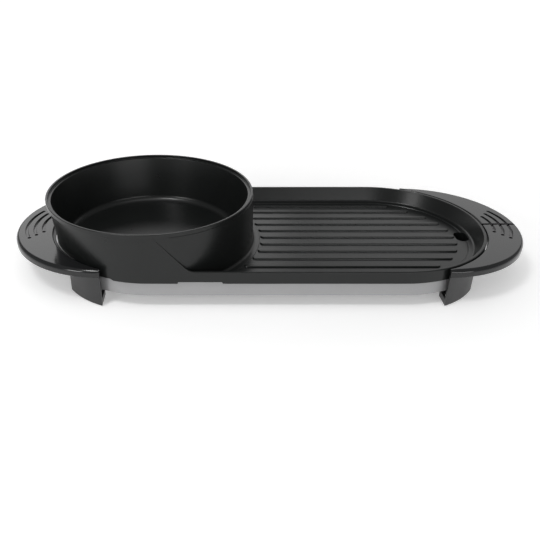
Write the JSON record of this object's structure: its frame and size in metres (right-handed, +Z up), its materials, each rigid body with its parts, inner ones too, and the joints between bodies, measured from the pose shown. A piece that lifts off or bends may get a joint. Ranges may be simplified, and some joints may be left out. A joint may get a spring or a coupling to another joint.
{
  "type": "electric skillet",
  "caption": "Electric grill and hot pot cooker: one lift-off coated plate with a deep round pot and a ribbed grill, on an oval heated base with crescent handles.",
  "frame": {"origin": "middle of the whole appliance at table level", "axes": "+X from the pot to the grill, +Y towards the control side, +Z up"},
  "size_m": [0.6238, 0.2863, 0.0932],
  "materials": {
    "nonstick_coat": "cast aluminium under a satin black non-stick coat",
    "silver_paint": "satin silver paint on sheet steel",
    "pan_steel": "dark grey heat-proof paint on sheet steel",
    "gloss_black": "polished black heat-proof plastic",
    "satin_black": "moulded black plastic, fine satin",
    "rubber_black": "matt black rubber",
    "bright_sheet": "bright rolled sheet",
    "element_steel": "heat-darkened steel sheath",
    "zinc_steel": "zinc-plated steel",
    "brass_contact": "bare brass",
    "block_plastic": "ivory heat-proof moulding",
    "thermostat_body": "brown moulded body",
    "lamp_lens": "clear red plastic lens",
    "wire_sleeve": "glass-fibre sleeving",
    "tray_steel": "brushed stainless sheet"
  },
  "bodies": {
    "root": {"base_band": "silver_paint", "base_pan": "pan_steel", "handle_left": "gloss_black", "handle_right_front": "gloss_black", "handle_right_rear": "gloss_black", "handle_screws": "zinc_steel", "leg_screws": "zinc_steel", "panel_screws": "zinc_steel", "housing_screws": "zinc_steel", "pot_heating_element": "element_steel", "grill_heating_element": "element_steel", "element_saddles": "zinc_steel", "pot_reflector": "bright_sheet", "grill_reflector": "bright_sheet", "thermal_cutouts": "zinc_steel", "control_housing": "satin_black", "control_panel": "satin_black", "pot_thermostat": "thermostat_body", "grill_thermostat": "thermostat_body", "bush_nuts": "brass_contact", "pot_pilot_lamp": "lamp_lens", "grill_pilot_lamp": "lamp_lens", "terminal_block": "block_plastic", "power_inlet": "satin_black", "inlet_pins": "brass_contact", "element_leads": "wire_sleeve", "supply_leads": "wire_sleeve", "drip_rail_front": "zinc_steel", "drip_rail_rear": "zinc_steel", "leg_left_front": "satin_black", "foot_pad_left_front": "rubber_black", "leg_left_rear": "satin_black", "foot_pad_left_rear": "rubber_black", "leg_right_front": "satin_black", "foot_pad_right_front": "rubber_black", "leg_right_rear": "satin_black", "foot_pad_right_rear": "rubber_black"},
    "cooking_plate": {"cooking_plate": "nonstick_coat"},
    "pot_knob": {"pot_knob": "gloss_black", "pot_spindle": "zinc_steel"},
    "grill_knob": {"grill_knob": "gloss_black", "grill_spindle": "zinc_steel"},
    "drip_tray": {"drip_tray": "tray_steel"}
  },
  "joints": [
    {"name": "plate_lift", "type": "slide", "parent": "root", "child": "cooking_plate", "axis": [0, 0, 1], "range_m": [0, 0.06]},
    {"name": "pot_knob_turn", "type": "hinge", "parent": "root", "child": "pot_knob", "pos_m": [-0.038, 0.12865, 0.0176], "axis": [0, -1, 0], "range_deg": [0, 270]},
    {"name": "grill_knob_turn", "type": "hinge", "parent": "root", "child": "grill_knob", "pos_m": [0.038, 0.12865, 0.0176], "axis": [0, -1, 0], "range_deg": [0, 270]},
    {"name": "tray_slide", "type": "slide", "parent": "root", "child": "drip_tray", "axis": [1, 0, 0], "range_m": [0, 0.075]}
  ]
}
